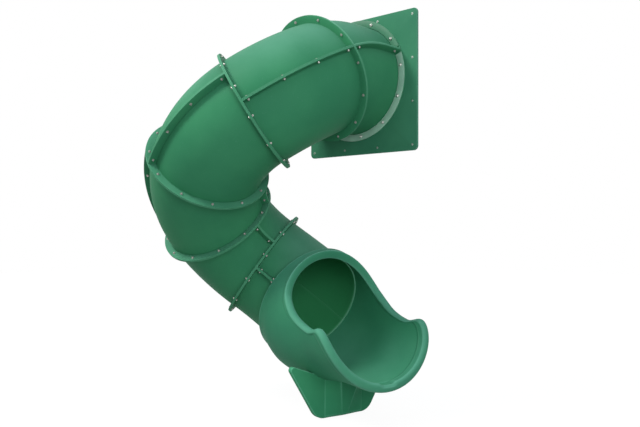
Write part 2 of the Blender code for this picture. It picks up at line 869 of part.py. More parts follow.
def build_foot(scoop, path, base):
    """The foot under the scoop, square to the way out, held by two long screws from below."""
    ahead = path.frame(lip_reach).to_3x3() @ Vector((0.0, 0.0, 1.0))
    level = Vector((ahead.x, ahead.y, 0.0)).normalized()
    up = Vector((0.0, 0.0, 1.0))
    start = path.frame(0.0).translation
    spot = Vector((start.x, start.y, ground)) + level * foot_position
    axes = Matrix((up.cross(level), up, level)).transposed().to_4x4()
    face = Matrix.Translation(spot) @ axes
    axis_height = path.frame(foot_position).translation.z - ground
    belly_wall = scoop_wall + belly_depth(foot_position, pi)
    wall_middle = base + belly_wall / 2
    plate = flat_outline("exit_foot", foot_outline(axis_height, wall_middle), foot_thickness)
    middle = face @ forward(-foot_thickness / 2)
    foot = add_part("exit_foot", plate, moulded_green, 0.5, 0.0, middle)
    rib_top = axis_height - wall_middle
    join(foot, add_cutter("foot_rib", foot_rib(rib_top), face))
    belly = scoop_mesh("scoop_belly", path, base, scoop_wall + foot_clearance)
    cut(foot, add_cutter("scoop_belly", belly))

    head_top = foot_screw_recess
    length = axis_height - base - belly_wall - head_top + foot_screw_bite
    screw = bolt_mesh(
        "foot_screw",
        foot_screw_head_radius,
        foot_screw_head_height,
        foot_screw_shank,
        -head_top + gap,
        -head_top - length,
    )
    recess_size = foot_screw_head_radius + hole_clearance
    recess = prism_mesh("recess", hex_sides, recess_size, -head_top, head_top)
    down = Matrix.Rotation(pi / 2, 4, "X")
    spots = []
    for side in (-1, 1):
        spots.append(middle @ Matrix.Translation((side * foot_screw_spacing / 2, 0.0, 0.0)) @ down)
    for number, place in enumerate(spots, 1):
        add_part("foot_screw_%d" % number, screw, plated_steel, 0.4, 0.9, place)
    holes = square_holes("foot_screw_holes", spots, foot_screw_shank, -head_top - length - gap, head_top)
    hole_cutter = add_cutter("foot_screw_holes", holes)
    cut(foot, hole_cutter)
    cut(scoop, hole_cutter)
    cut(foot, add_cutter("foot_recesses", repeat("foot_recesses", recess, spots)))


start = entry_frame()
build_panel(start)
build_mount_ring(start)
tube_end, last_shells = build_tube(start)
scoop, scoop_path, scoop_base = build_scoop(tube_end, last_shells)
build_foot(scoop, scoop_path, scoop_base)
for leftover in list(bpy.data.meshes):
    if leftover.users == 0:
        bpy.data.meshes.remove(leftover)
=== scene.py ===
"""Spiral tube slide, dressed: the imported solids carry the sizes, and this file makes the surfaces."""

from math import cos, hypot, pi, radians, sin, tan

import bmesh
import bpy
import numpy as np
from mathutils import Matrix, Vector


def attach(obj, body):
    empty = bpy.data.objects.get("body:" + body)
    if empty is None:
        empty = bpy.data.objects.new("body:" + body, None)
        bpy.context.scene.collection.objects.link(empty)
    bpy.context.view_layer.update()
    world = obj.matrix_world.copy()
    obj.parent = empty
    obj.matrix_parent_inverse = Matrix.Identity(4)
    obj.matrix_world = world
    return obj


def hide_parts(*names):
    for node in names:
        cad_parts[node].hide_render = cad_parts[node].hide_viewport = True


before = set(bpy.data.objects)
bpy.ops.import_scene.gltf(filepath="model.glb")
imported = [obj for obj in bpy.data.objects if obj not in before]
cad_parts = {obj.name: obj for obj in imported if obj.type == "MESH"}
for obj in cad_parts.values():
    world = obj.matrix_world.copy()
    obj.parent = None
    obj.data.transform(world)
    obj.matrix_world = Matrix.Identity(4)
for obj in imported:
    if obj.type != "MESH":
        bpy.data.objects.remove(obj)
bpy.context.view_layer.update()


# Mounting panel.
# A square sheet of solid plastic, 12.7 mm thick, with round corners and a hole for the tube.
# It lies against the tower's wall and carries the whole entrance.

panel_side = 0.790
panel_thickness = 0.0127
panel_corner = 0.026
panel_edge_round = 0.0022
panel_shift = 0.038  # The panel's middle lies this far to the right of the hole's, and as far below it.
panel_steps = 160
tube_radius = 0.305
weld_distance = 1e-6
hard_angle = 35.0
# edge_size scales the painted highlight on outward edges, fold_size and fold_start the painted shade in
# folds.
edge_size = 0.0030
fold_size = 0.0120
fold_start = 0.08


class Socket:
    """One output of a shader node. Arithmetic on it adds Math nodes."""

    def __init__(self, tree, output):
        self.tree = tree
        self.output = output

    def node(self, kind, settings, values, output=0):
        """Add a node: its settings first, then the values or links of its inputs."""
        made = self.tree.nodes.new(kind)
        for key, value in settings.items():
            setattr(made, key, value)
        for key, value in values.items():
            if isinstance(value, Socket):
                self.tree.links.new(value.output, made.inputs[key])
            else:
                made.inputs[key].default_value = value
        return Socket(self.tree, made.outputs[output])

    def math(self, operation, first, second):
        """One Math node on two values."""
        return self.node("ShaderNodeMath", {"operation": operation}, {0: first, 1: second})

    def __add__(self, other):
        return self.math("ADD", self, other)

    def __sub__(self, other):
        return self.math("SUBTRACT", self, other)

    def __mul__(self, other):
        return self.math("MULTIPLY", self, other)

    def __rsub__(self, other):
        return self.math("SUBTRACT", other, self)

    __radd__ = __add__
    __rmul__ = __mul__

    def between(self, low, high):
        """0 below low, 1 above high, smooth in between."""
        values = {"Value": self, "From Min": low, "From Max": high}
        return self.node("ShaderNodeMapRange", {"interpolation_type": "SMOOTHSTEP"}, values)

    def along(self, axis):
        """One part of this vector: X, Y or Z."""
        return self.node("ShaderNodeSeparateXYZ", {}, {"Vector": self}, axis)

    def noise(self, scale, detail, roughness=0.55, stretch=(1.0, 1.0, 1.0)):
        """Cloudy noise, read along this vector; stretch widens or narrows it along an axis."""
        moved = self.node("ShaderNodeMapping", {}, {"Vector": self, "Scale": stretch})
        values = {"Vector": moved, "Scale": scale, "Detail": detail, "Roughness": roughness}
        return self.node("ShaderNodeTexNoise", {}, values)

    def blend(self, first, second):
        """The first colour where this is 0, the second where it is 1."""
        colour_a, colour_b, colour_result = 6, 7, 2
        values = {"Factor": self, colour_a: first, colour_b: second}
        return self.node("ShaderNodeMix", {"data_type": "RGBA"}, values, colour_result)


def new_finish(name, roughness, metallic=0.0, specular=0.5):
    """A new material, its shader, and its Object coordinates as a Socket."""
    finish = bpy.data.materials.new(name)
    finish.use_nodes = True
    shader = finish.node_tree.nodes["Principled BSDF"]
    shader.inputs["Roughness"].default_value = roughness
    shader.inputs["Metallic"].default_value = metallic
    shader.inputs["Specular IOR Level"].default_value = specular
    place = Socket(finish.node_tree, None).node("ShaderNodeTexCoord", {}, {}, "Object")
    return finish, shader, place


def wire(shader, colour, roughness, height, depth):
    """Link the varying parts of a finish to its shader: colour, roughness and the bump's height."""
    bump = height.node("ShaderNodeBump", {}, {"Height": height, "Distance": depth, "Strength": 1.0})
    for part, name in ((colour, "Base Color"), (roughness, "Roughness"), (bump, "Normal")):
        shader.id_data.links.new(part.output, shader.inputs[name])


def tinted(colour, red=1.0, green=1.0, blue=1.0):
    """The colour with each of its three parts times a share, and fully opaque."""
    return (colour[0] * red, colour[1] * green, colour[2] * blue, 1.0)


def plastic(name, colour, sheen_and_speck_colour, grain, gloss):
    """Coloured-through plastic with clouds of colour, rain streaks, pale specks and a fine grain.

    Its upward faces carry a painted pale, bluish sky sheen, and its inner face a painted glow
    of light through the wall. Its outward edges carry a painted highlight, and its folds a painted shade.
    """
    finish, shader, place = new_finish(name, gloss, specular=0.07)
    # pale colours both the painted sky sheen on upward faces and the pale specks.
    plain, pale = tinted(colour), tinted(sheen_and_speck_colour)
    dark = tinted(colour, 0.72, 0.82, 0.84)
    # Painted glow: a livelier green for the inner face, standing in for daylight through the wall.
    painted_glow = tinted(colour, 0.80, 1.05, 0.86)
    # Painted shade for folds and flange roots: a much darker green.
    painted_fold_shade = tinted(colour, 0.34, 0.42, 0.44)
    # Painted highlight for outward edges: a much lighter green.
    painted_edge_highlight = tinted(colour, 4.6, 2.2, 3.1)
    clouds = place.noise(2.6, 4.0).between(0.30, 0.72)
    streaks = place.noise(9.0, 3.0, 0.6, (1.0, 1.0, 0.16)).between(0.52, 0.80)
    fine = place.noise(grain, 2.0, 0.6)
    specks = place.noise(grain * 0.31, 1.0).between(0.66, 0.74)
    upward = place.node("ShaderNodeNewGeometry", {}, {}, "Normal").along("Z").between(0.05, 1.0)
    inside, edge, crease = [
        place.node("ShaderNodeAttribute", {"attribute_name": kept}, {}, "Fac")
        for kept in ("inside", "edge", "crease")
    ]
    colour_now = clouds.blend(dark, plain)
    colour_now = (streaks * 0.16).blend(colour_now, dark)
    # Painted sky sheen: upward faces turn paler and bluer, in patches.
    colour_now = (upward * (clouds * 0.25 + 0.20)).blend(colour_now, pale)
    # The inner face takes the painted glow.
    colour_now = inside.blend(colour_now, painted_glow)
    # Painted shade darkens the folds.
    colour_now = (crease * (clouds * 0.20 + 0.70)).blend(colour_now, painted_fold_shade)
    # Painted highlight lightens outward edges, unevenly along the streaks.
    colour_now = (edge * (streaks * 0.30 + 0.55)).blend(colour_now, painted_edge_highlight)
    colour_now = (specks * 0.10).blend(colour_now, pale)
    rough = clouds * 0.10 + fine * 0.08 - edge * 0.08 + (gloss - 0.09)
    wire(shader, colour_now, rough, fine + clouds * 0.6, 0.00035)
    return finish


def grid_quads(rows, columns, wrap_rows=False, wrap_columns=False):
    """The quads between the points of a grid that is numbered row by row."""
    low = np.arange(rows if wrap_rows else rows - 1)[:, None] * columns
    high = (low + columns) % (rows * columns)
    left = np.arange(columns if wrap_columns else columns - 1)[None, :]
    right = (left + 1) % columns
    corners = (low + left, low + right, high + right, high + left)
    return np.stack(np.broadcast_arrays(*corners), axis=-1).reshape(-1, 4)


def store(piece, name, values):
    """Keep one number for each point of the piece, for its material to read."""
    kept = piece.data.attributes.get(name) or piece.data.attributes.new(name, "FLOAT", "POINT")
    kept.data.foreach_set("value", np.asarray(values, np.float32).ravel())


def mark_edges(piece, size=edge_size):
    """Store how sharp each point's outward edge and inward fold are, for a painted highlight and shade.

    Where two faces meet, the bend is the change of the normal along the way from one middle to the
    other, over that way's length squared. A point keeps its largest bend, times a size.
    """
    mesh = piece.data
    faces, corners = len(mesh.polygons), len(mesh.loops)
    normal, middle = np.empty(faces * 3), np.empty(faces * 3)
    mesh.polygons.foreach_get("normal", normal)
    mesh.polygons.foreach_get("center", middle)
    normal, middle = normal.reshape(-1, 3), middle.reshape(-1, 3)
    total, edge = np.empty(faces, int), np.empty(corners, int)
    mesh.polygons.foreach_get("loop_total", total)
    mesh.loops.foreach_get("edge_index", edge)
    owner = np.repeat(np.arange(faces), total)
    order = np.argsort(edge, kind="stable")
    edge, owner = edge[order], owner[order]
    pair = np.flatnonzero(edge[1:] == edge[:-1])
    one, two = owner[pair], owner[pair + 1]
    apart = middle[two] - middle[one]
    never_zero = 1e-9
    length = np.linalg.norm(apart, axis=1) + never_zero
    bend_here = np.sum((normal[two] - normal[one]) * apart, axis=1) / length**2
    ends = np.empty(len(mesh.edges) * 2, int)
    mesh.edges.foreach_get("vertices", ends)
    ends = ends.reshape(-1, 2)[edge[pair]]
    outward, inward = np.zeros(len(mesh.vertices)), np.zeros(len(mesh.vertices))
    for side in (0, 1):
        np.maximum.at(outward, ends[:, side], bend_here)
        np.maximum.at(inward, ends[:, side], -bend_here)
    store(piece, "edge", np.clip(outward * size, 0, 1))
    store(piece, "crease", np.clip(inward * fold_size - fold_start, 0, 1))


def shade(piece, sharp=hard_angle):
    """Smooth shading, with a hard line only where two faces meet at more than this angle."""
    piece.data.shade_smooth()
    piece.data.set_sharp_from_angle(angle=radians(sharp))


def put_down(name, points, faces, finish, nodes=()):
    """Make a piece from points and faces, shade it and let it ride on the slide."""
    mesh = bpy.data.meshes.new(name)
    mesh.from_pydata(np.asarray(points, float).reshape(-1, 3).tolist(), [], [list(f) for f in faces])
    piece = bpy.data.objects.new(name, mesh)
    bpy.context.scene.collection.objects.link(piece)
    mesh.materials.append(finish)
    shade(piece)
    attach(piece, "root")
    if nodes:
        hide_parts(*nodes)
    return piece


def clean(piece, poles=True):
    """Weld the piece's coinciding points and turn its faces out.

    Where it has poles, the edges that the weld leaves there without length go too.
    """
    shape = bmesh.new()
    shape.from_mesh(piece.data)
    bmesh.ops.remove_doubles(shape, verts=shape.verts, dist=weld_distance)
    if poles:
        bmesh.ops.dissolve_degenerate(shape, edges=shape.edges, dist=weld_distance)
    bmesh.ops.recalc_face_normals(shape, faces=shape.faces)
    shape.to_mesh(piece.data)
    shape.free()
    shade(piece)
    return piece


def round_edges(piece, width, segments=3, angle=40.0):
    """Round every edge sharper than the angle."""
    bevel = piece.modifiers.new("round", "BEVEL")
    bevel.width = width
    bevel.segments = segments
    bevel.limit_method = "ANGLE"
    bevel.angle_limit = radians(angle)


def apply_modifiers(piece):
    """Bake the piece's modifiers into its mesh, clean it and mark its edges and folds."""
    view = bpy.context.evaluated_depsgraph_get()
    mesh = bpy.data.meshes.new_from_object(piece.evaluated_get(view), depsgraph=view)
    old = piece.data
    piece.modifiers.clear()
    piece.data = mesh
    bpy.data.meshes.remove(old)
    clean(piece, poles=False)
    mark_edges(piece)


def rounded_square(half, corner, steps=10):
    """Outline of a square with quarter-circle corners, counterclockwise."""
    turn = np.linspace(0, pi / 2, steps)
    arc = np.stack([np.cos(turn), np.sin(turn)], 1) * corner + (half - corner)
    quarter = np.array([[0, -1], [1, 0]])
    outline = []
    for _ in range(4):
        outline.append(arc)
        arc = arc @ quarter.T
    return np.concatenate(outline)


def ringed_plate(outer, inner, depth):
    """A plate between two outlines of equal count: front, hole, back and rim, as one closed grid."""
    rows = []
    for outline, level in ((outer, 0.0), (inner, 0.0), (inner, depth), (outer, depth)):
        rows.append(np.column_stack([outline, np.full(len(outline), level)]))
    return np.array(rows)


def panel_plate():
    """The panel: its outline and the hole's circle, joined at equal bearings from the hole's middle."""
    square = rounded_square(panel_side / 2, panel_corner) + (panel_shift, -panel_shift)
    closed = np.concatenate([square, square[:1]])
    travel = np.concatenate([[0], np.cumsum(np.hypot(*np.diff(closed, axis=0).T))])
    fine = np.union1d(np.linspace(0, travel[-1], panel_steps), travel)[:-1]
    outer = np.column_stack([np.interp(fine, travel, closed[:, k]) for k in (0, 1)])
    bearing = np.arctan2(outer[:, 1], outer[:, 0])
    inner = np.column_stack([np.cos(bearing), np.sin(bearing)]) * tube_radius
    flat = ringed_plate(outer, inner, panel_thickness)
    return flat[..., [0, 2, 1]] * (1, -1, 1)


panel_green = plastic("panel_green", (0.050, 0.218, 0.118), (0.100, 0.280, 0.190), 520.0, 0.62)
plate = panel_plate()
quads = grid_quads(*plate.shape[:2], True, True)
panel = put_down("entrance_panel", plate, quads, panel_green, ["mounting_panel"])
round_edges(panel, panel_edge_round)
apply_modifiers(panel)


# Panel screws.
# Pan-head screws of zinc-plated steel, each on a washer, four to a side of the panel.
# They go through its edge into the tower's wall, with none where the tube's flange lies.

shell_wall = 0.0065
flange_width = 0.042
flange_radius = tube_radius + shell_wall + flange_width
gap = 0.0003
screw_inset = 0.032
screws_per_side = 4
screw_clearance = 0.0063
screw_radius = 0.0050
screw_head_height = 0.0024
screw_length = 0.036
screw_washer_share = 1.45
screw_washer_top = 0.0011
screw_head_foot = 0.0008
screw_shank_top = 0.0009
screw_shank_radius = 0.0026
screw_tip_radius = 0.0022
screw_tip_length = 0.004


def zinc_finish(name, colour, roughness):
    """Plated steel: clouds of brighter and duller metal and fine scratches along it."""
    finish, shader, place = new_finish(name, roughness, metallic=0.85)
    clouds = place.noise(160.0, 3.0).between(0.35, 0.65)
    scratches = place.noise(900.0, 2.0, 0.5, (1.0, 1.0, 0.08))
    metal = clouds.blend(tinted(colour, 0.62, 0.62, 0.60), tinted(colour))
    wire(shader, metal, clouds * 0.12 + roughness, scratches, 0.0001)
    return finish


def turned(profile, sides):
    """A turned solid: (radius, height) pairs carried round the Z axis, closed at its poles."""
    profile = np.array(profile, float)
    turn = 2 * pi * np.arange(sides) / sides
    circle = np.stack([np.cos(turn), np.sin(turn)], 1)
    flat = profile[:, None, :1] * circle
    height = np.broadcast_to(profile[:, None, 1:], (*flat.shape[:2], 1))
    points = np.concatenate([flat, height], axis=2)
    return points.reshape(-1, 3), grid_quads(len(profile), sides, False, True)


def disc(radius, low, high, sides):
    """A round plate or rod between two heights."""
    return turned([(0, low), (radius, low), (radius, high), (0, high)], sides)


def gather(shapes):
    """Several (points, faces) pairs as one."""
    points, faces, first = [], [], 0
    for p, f in shapes:
        points.append(p)
        faces.append(f + first)
        first += len(p)
    return np.concatenate(points), np.concatenate(faces)


def copies(shape, places):
    """The shape once at each place, a 4 by 4 matrix."""
    points, faces = shape
    return gather([(points @ m[:3, :3].T + m[:3, 3], faces) for m in places])


def facing(place, normal, up):
    """A matrix whose Z looks along normal and whose X lies near up."""
    z = np.array(normal, float) / np.linalg.norm(normal)
    y = np.cross(z, up)
    y /= np.linalg.norm(y)
    matrix = np.eye(4)
    matrix[:3, :3] = np.column_stack([np.cross(y, z), y, z])
    matrix[:3, 3] = place
    return matrix


def pan_screw(radius, height, length):
    """A flat washer, a low round head and a shank behind, each set a little into the next."""
    washer = disc(radius * screw_washer_share, 0, screw_washer_top, 24)
    dome = [(radius * cos(a), screw_washer_top + height * sin(a)) for a in np.linspace(0, pi / 2, 5)]
    head = turned([(0, screw_head_foot), (radius, screw_head_foot)] + dome, 24)
    tip = [(0, -length), (screw_tip_radius, -length)]
    rod = [(screw_shank_radius, -length + screw_tip_length), (screw_shank_radius, screw_shank_top)]
    return gather([washer, head, turned(tip + rod + [(0, screw_shank_top)], 10)])


panel_zinc = zinc_finish("panel_screw_zinc", (0.36, 0.46, 0.40), 0.42)
half = panel_side / 2 - screw_inset
row = np.linspace(-half, half, screws_per_side)
screw_places, screw_nodes = [], []
for x in row:
    for z in row:
        on_edge = abs(x) > half - gap or abs(z) > half - gap
        if on_edge and hypot(x + panel_shift, z - panel_shift) > flange_radius + screw_clearance:
            place = (x + panel_shift, -panel_thickness - gap, z - panel_shift)
            screw_places.append(facing(place, (0, -1, 0), (0, 0, 1)))
            screw_nodes.append("panel_screw_%02d" % len(screw_places))
points, faces = copies(pan_screw(screw_radius, screw_head_height, screw_length), screw_places)
clean(put_down("panel_screws", points, faces, panel_zinc, screw_nodes))


# Entry section.
# Two moulded half shells that bolt to the panel and bend the tube down into its first turn.
# Each is a half tube of 6.5 mm plastic with a flat flange along all four of its edges.

bend_radius = 0.5385
entry_straight = 0.120
entry_bend = radians(22.3)
entry_clock = radians(78.2)
entry_seam = radians(-54.8)
straight_steps = 5
bend_steps = 13
shell_columns = 61
shell_rounding = 0.0030
sheet_weld = 1e-5
inside_reach = 0.004
inside_fade = 0.002
end_highlight_width = 0.0025
end_highlight = 1.2
deep_green = (0.045, 0.242, 0.112)
# sky_green is the pale, bluish colour of the slide's painted sky sheen and of its specks.
sky_green = (0.150, 0.325, 0.275)


def ahead(length):
    """Straight on along the tube."""
    matrix = np.eye(4)
    matrix[2, 3] = length
    return matrix


def roll(turn):
    """A turn about the tube's own axis, in radians."""
    matrix = np.eye(4)
    matrix[:2, :2] = [[cos(turn), -sin(turn)], [sin(turn), cos(turn)]]
    return matrix


def bend(turn):
    """On along a bend whose centre lies at -X: the arc's chord, and the turn about Y."""
    matrix = np.eye(4)
    matrix[0, :3] = [cos(turn), 0, -sin(turn)]
    matrix[2, :3] = [sin(turn), 0, cos(turn)]
    matrix[0, 3] = bend_radius * (cos(turn) - 1)
    matrix[2, 3] = bend_radius * sin(turn)
    return matrix


def ring(station, turn, radius):
    """Points on the tube's cross-section at these angles, where zero is the outside of the bend."""
    turn, radius = np.broadcast_arrays(np.asarray(turn, float), radius)
    flat = np.stack([np.cos(turn) * radius, np.sin(turn) * radius, np.zeros_like(turn)], axis=-1)
    return flat @ station[:3, :3].T + station[:3, 3]


def shell_sheet(stations, seam, end_flange, seam_count):
    """The joint side of a half shell: the half tube, then a strip out to each flange's edge.

    A point is (station, angle, radius). The tube keeps one radius, and each strip keeps one angle
    or one station. The strips along the seams end at the station that seam_count gives.
    """
    turn = np.linspace(seam, seam + pi, shell_columns)
    radii = (tube_radius, (tube_radius + flange_radius) / 2, flange_radius)
    strips = [np.array([ring(station, turn, tube_radius) for station in stations])]
    strips.append(np.array([ring(stations[0], turn, r) for r in radii])[::-1])
    if end_flange:
        strips.append(np.array([ring(stations[-1], turn, r) for r in radii]))
    for side, order in ((seam, -1), (seam + pi, 1)):
        strip = np.array([[ring(station, side, r) for station in stations[:seam_count]] for r in radii])
        strips.append(strip[::order])
    return gather([(s.reshape(-1, 3), grid_quads(*s.shape[:2])) for s in strips])


def face_outward(piece, stations):
    """Weld the sheet, and turn it over if a face in the tube's middle looks at the tube's axis."""
    shape = bmesh.new()
    shape.from_mesh(piece.data)
    bmesh.ops.remove_doubles(shape, verts=shape.verts, dist=sheet_weld)
    bmesh.ops.recalc_face_normals(shape, faces=shape.faces)
    shape.faces.ensure_lookup_table()
    half_way = len(stations) // 2
    sample = shape.faces[half_way * (shell_columns - 1) + shell_columns // 2]
    away = np.array(sample.calc_center_median()) - stations[half_way][:3, 3]
    if np.dot(away, np.array(sample.normal)) < 0:
        bmesh.ops.reverse_faces(shape, faces=shape.faces)
    shape.to_mesh(piece.data)
    shape.free()


def mark_inside(piece, stations, end_flange):
    """Store which points lie on the tube's inner face, and paint a highlight along a plain end's edge.

    A point is inside where it lies little further from the nearest station's middle than the
    tube's radius.
    """
    spots = np.empty(len(piece.data.vertices) * 3)
    piece.data.vertices.foreach_get("co", spots)
    spots = spots.reshape(-1, 3)
    middles = np.array([station[:3, 3] for station in stations])
    away = np.linalg.norm(spots[:, None] - middles, axis=2).min(axis=1)
    # The plastic gives these inner points its painted glow.
    store(piece, "inside", np.clip((tube_radius + inside_reach - away) / inside_fade, 0, 1))
    # Painted highlight along a plain end's edge.
    if not end_flange:
        past_end = (spots - stations[-1][:3, 3]) @ stations[-1][:3, 2]
        on_end = (past_end > -end_highlight_width) & (away < flange_radius)
        edge = np.empty(len(spots))
        piece.data.attributes["edge"].data.foreach_get("value", edge)
        store(piece, "edge", np.maximum(edge, on_end * end_highlight))


def half_shell(name, node, stations, seam, end_flange=True, seam_count=None):
    """A half shell: its sheet welded, given its wall on the outside, and all its edges rounded."""
    points, faces = shell_sheet(stations, seam, end_flange, seam_count)
    apart = np.array([cos(seam + pi / 2), sin(seam + pi / 2), 0]) * gap / 2
    points = points + stations[0][:3, :3] @ apart
    piece = put_down(name, points, faces, slide_green, [node])
    face_outward(piece, stations)
    wall = piece.modifiers.new("wall", "SOLIDIFY")
    wall.thickness = shell_wall
    wall.offset = 1.0
    wall.use_even_offset = True
    round_edges(piece, shell_rounding, 3, 50.0)
    apply_modifiers(piece)
    mark_inside(piece, stations, end_flange)


slide_green = plastic("slide_green", deep_green, sky_green, 430.0, 0.60)
start = np.eye(4)
start[:3, :3] = np.column_stack(
    [(cos(entry_clock), 0, sin(entry_clock)), (-sin(entry_clock), 0, cos(entry_clock)), (0, -1, 0)]
)
start[:3, 3] = (0, -panel_thickness - gap, 0)
entry_stations = [start @ ahead(s) for s in np.linspace(0, entry_straight, straight_steps)]
for turn in np.linspace(0, entry_bend, bend_steps)[1:]:
    entry_stations.append(start @ ahead(entry_straight) @ bend(turn))
for label, seam in (("upper", entry_seam), ("lower", entry_seam + pi)):
    half_shell("entry_shell_" + label, "entry_" + label, entry_stations, seam)


# Elbow sections.
# Five equal elbows of 45 degrees, each of two half shells, clocked 30 degrees against the one before.
# The last one has no end flange: its plain end slips into the exit scoop's collar.

elbow_turn = radians(45.0)
elbow_clocking = radians(30.0)
elbow_count = 5
elbow_steps = 25
plain_end_steps = 6
socket_depth = 0.036
seam_end_space = 0.012
seam_stop = elbow_turn - (socket_depth + seam_end_space) / bend_radius

elbow_starts = []
joint = entry_stations[-1] @ roll(entry_seam)
for number in range(1, elbow_count + 1):
    begin = joint @ ahead(gap)
    elbow_starts.append(begin)
    joint = begin @ bend(elbow_turn) @ roll(elbow_clocking)
    turns = np.linspace(0, elbow_turn, elbow_steps)
    last = number == elbow_count
    if last:
        plain_end = np.linspace(seam_stop, elbow_turn, plain_end_steps)[1:]
        turns = np.concatenate([np.linspace(0, seam_stop, elbow_steps), plain_end])
    stations = [begin @ bend(turn) for turn in turns]
    for label, seam in (("upper", 0.0), ("lower", pi)):
        name = "elbow_%d_%s" % (number, label)
        half_shell("moulded_" + name, name, stations, seam, not last, elbow_steps)
tube_end = elbow_starts[-1] @ bend(elbow_turn)


# Joint bolts.
# Hexagon bolts of zinc-plated steel with washers and lock nuts, which hold the half shells together.
# Each ring joint has twelve, and a row of them follows every seam.

bolt_circle = tube_radius + shell_wall + flange_width / 2
bolts_per_ring = 12
outer_seam_bolts = 4
inner_seam_bolts = 2
outer_margin = 0.034
inner_margin = 0.032
last_inner_margin = 0.014
entry_margin = 0.040
stack = shell_wall + gap / 2
washer_radius = 0.0078
washer_thickness = 0.0012
hexagon_radius = 0.0062
hexagon_sides = 24
hexagon_chamfer = 0.0012
chamfer_lean = 0.4
head_foot = 0.0010
head_top = 0.0058
nut_height = 0.0052
tip_reach = 0.0090
tip_bevel = 0.0010
tip_radius = 0.0036
tip_end_radius = 0.0030


def hexagonal(radius, low, high):
    """A hexagon bar's end: its radius follows the six flats, and the top corners are turned off."""
    turn = 2 * pi * np.arange(hexagon_sides) / hexagon_sides
    wedge = (turn + pi / 6) % (pi / 3) - pi / 6
    flats = radius * cos(pi / 6) / np.cos(wedge)
    top = np.full(hexagon_sides, radius * cos(pi / 6) - hexagon_chamfer * chamfer_lean)
    axis = np.zeros(hexagon_sides)
    shoulder = high - hexagon_chamfer
    rows = []
    for reach, level in ((axis, low), (flats, low), (flats, shoulder), (top, high), (axis, high)):
        rows.append(np.column_stack([np.cos(turn) * reach, np.sin(turn) * reach, axis + level]))
    return np.concatenate(rows), grid_quads(len(rows), hexagon_sides, False, True)


def upside_down(shape, level):
    """The shape turned over about X, with its ground at this level."""
    points, faces = shape
    return points * (1, -1, -1) + (0, 0, level), faces


def hex_bolt():
    """A washer and a hexagon head on one flange, a washer, a nut and the bolt's tip on the other."""
    top_washer = disc(washer_radius, stack, stack + washer_thickness, 20)
    head = hexagonal(hexagon_radius, stack + head_foot, stack + head_top)
    low_washer = disc(washer_radius, -stack - washer_thickness, -stack, 20)
    nut = upside_down(hexagonal(hexagon_radius, 0.0, nut_height), -stack - head_foot)
    end = -stack - tip_reach
    tip_rows = [(0, end), (tip_end_radius, end), (tip_radius, end + tip_bevel), (tip_radius, 0.0), (0, 0.0)]
    return gather([top_washer, head, low_washer, nut, turned(tip_rows, 12)])


def bolt_ring(place, seam):
    """Places on the bolt circle, with a seam halfway between two of them."""
    places = []
    for k in range(bolts_per_ring):
        spot = place.copy()
        spot[:3, 3] = ring(place, seam + 2 * pi / bolts_per_ring * (k + 0.5), bolt_circle)
        places.append(spot)
    return places


def seam_bolt(place, turn, side):
    """A place in a seam's flanges, its Z across them and towards growing angles for side 1."""
    outward = place[:3, :3] @ (cos(turn), sin(turn), 0)
    across = place[:3, :3] @ (cos(turn + side * pi / 2), sin(turn + side * pi / 2), 0)
    spot = np.eye(4)
    spot[:3, :3] = np.column_stack([np.cross(outward, across), outward, across])
    spot[:3, 3] = ring(place, turn, bolt_circle)
    return spot


bolt_zinc = zinc_finish("joint_bolt_zinc", (0.50, 0.50, 0.47), 0.40)
outer = outer_margin / (bend_radius + bolt_circle)
for number, begin in enumerate(elbow_starts, 1):
    places = bolt_ring(begin @ ahead(-gap / 2), 0.0)
    last = number == elbow_count
    stop = seam_stop if last else elbow_turn
    inner = inner_margin / (bend_radius - bolt_circle)
    last_inner = last_inner_margin / (bend_radius - bolt_circle) if last else inner
    for turn in np.linspace(outer, stop - outer, outer_seam_bolts):
        places.append(seam_bolt(begin @ bend(turn), 0.0, 1))
    for turn in np.linspace(inner, stop - last_inner, inner_seam_bolts):
        places.append(seam_bolt(begin @ bend(turn), pi, -1))
    points, faces = copies(hex_bolt(), places)
    clean(put_down("joint_bolts_%d" % number, points, faces, bolt_zinc))
places = []
near_joint = start @ ahead(entry_straight) @ bend(entry_bend - entry_margin / bend_radius)
for place in (start @ ahead(entry_margin), near_joint):
    places.append(seam_bolt(place, entry_seam, 1))
    places.append(seam_bolt(place, entry_seam + pi, -1))
points, faces = copies(hex_bolt(), places)
clean(put_down("entry_seam_bolts", points, faces, bolt_zinc))


# Mounting ring.
# Two half rings of painted steel strip, 5 mm thick, the upper one green and the lower one pale.
# They clamp the entry section's flange to the panel.

ring_clearance = 0.0007
ring_thickness = 0.005
ring_end_gap = 0.012
ring_inset = 0.0030
ring_steps = 73
ring_edge_round = 0.0010


def painted(name, colour, under, gloss):
    """Painted steel: even paint with faint clouds, dust in its grain and worn specks of primer."""
    finish, shader, place = new_finish(name, gloss)
    clouds = place.noise(12.0, 4.0).between(0.3, 0.7)
    worn = place.noise(75.0, 3.0, 0.7).between(0.67, 0.72)
    colour_now = clouds.blend(tinted(colour, 0.82, 0.84, 0.84), tinted(colour))
    colour_now = (worn * 0.5).blend(colour_now, tinted(under))
    wire(shader, colour_now, clouds * 0.10 + gloss, place.noise(500.0, 2.0), 0.0002)
    return finish


